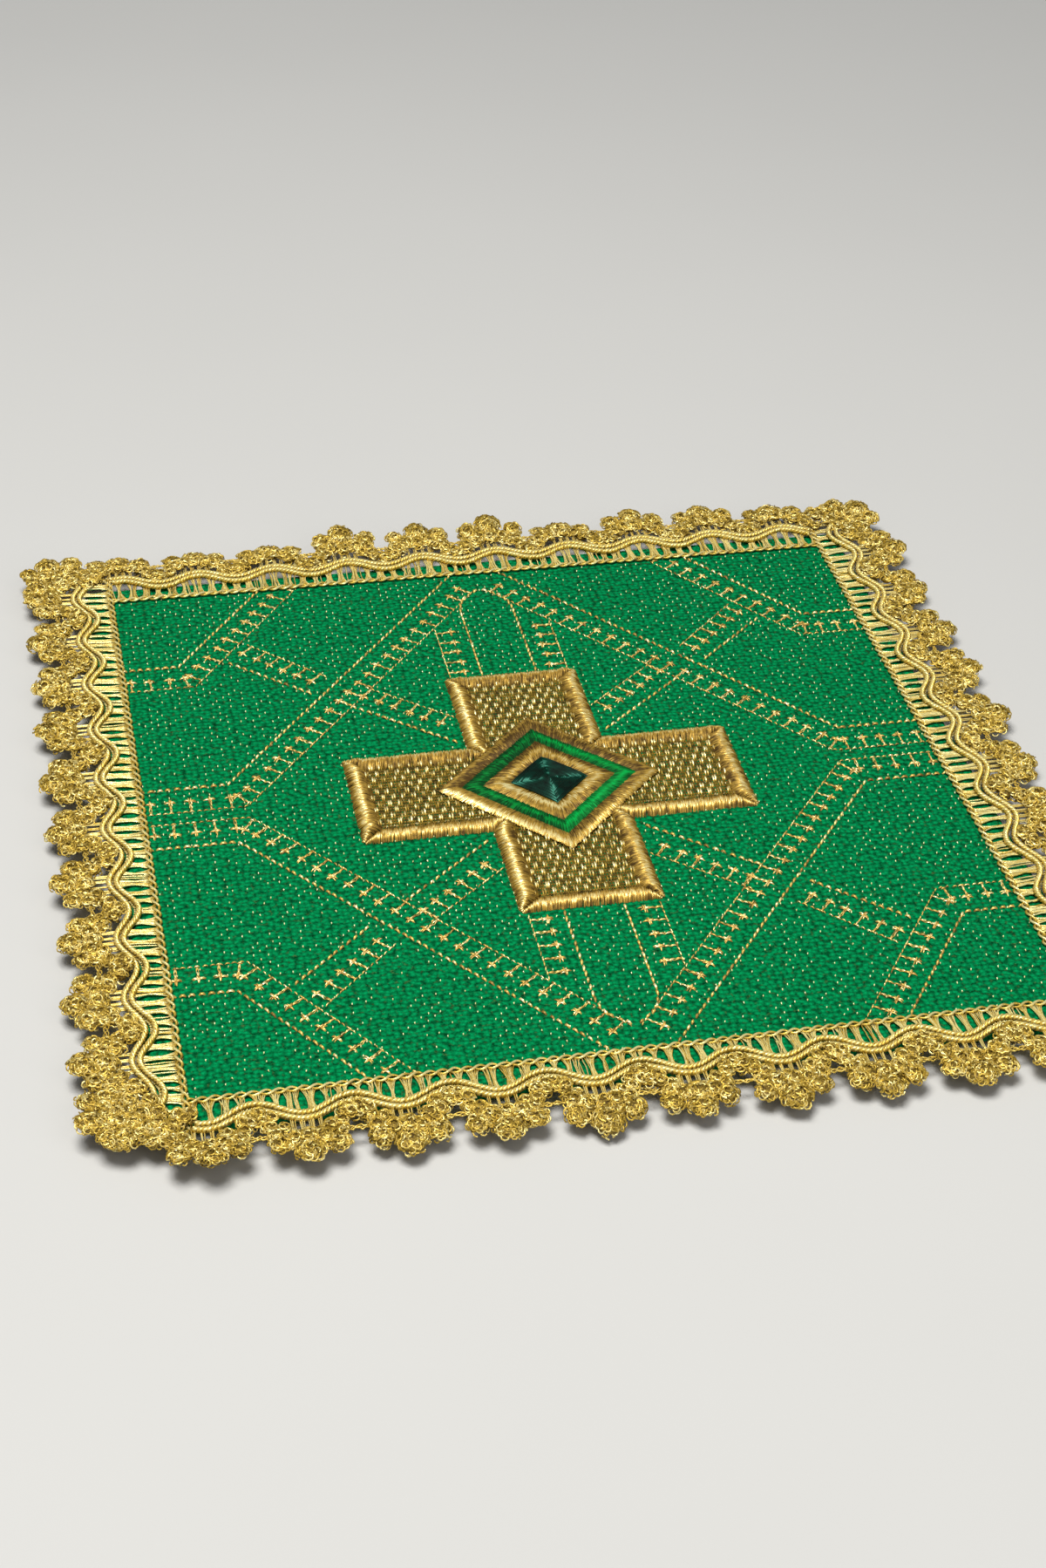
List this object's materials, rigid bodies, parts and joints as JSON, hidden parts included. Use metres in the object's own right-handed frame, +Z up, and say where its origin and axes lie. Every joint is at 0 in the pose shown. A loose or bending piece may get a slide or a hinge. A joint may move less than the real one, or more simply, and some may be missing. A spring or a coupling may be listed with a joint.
{
  "type": "chalice pall",
  "caption": "Stiff square cloth cover for a chalice, edged with scalloped metallic lace and embroidered with a bordered cross that carries nested diamonds.",
  "frame": {"origin": "middle of the flat underside, at the centre of the square", "axes": "+Z up out of the embroidered face, +X to the right and +Y to the back along the sides of the square"},
  "size_m": [0.1744, 0.1744, 0.0063],
  "materials": {
    "green_cloth": "coarse plain weave in green with fine metallic glints",
    "gold_lace": "gimped metallic gold cord and thread",
    "gold_thread": "glossy gold satin stitch",
    "stitched_ground": "olive gold ground with short bright gold stitches",
    "green_thread": "glossy bright green satin stitch",
    "dark_thread": "dark green satin stitch in facets"
  },
  "bodies": {
    "root": {"pall_cloth": "green_cloth", "lace_back": "gold_lace", "lace_left": "gold_lace", "lace_front": "gold_lace", "lace_right": "gold_lace", "cross_ground": "stitched_ground", "cross_border": "gold_thread", "diamond_gold_outer": "gold_thread", "diamond_green": "green_thread", "diamond_gold_inner": "gold_thread", "diamond_centre": "dark_thread"}
  },
  "joints": []
}
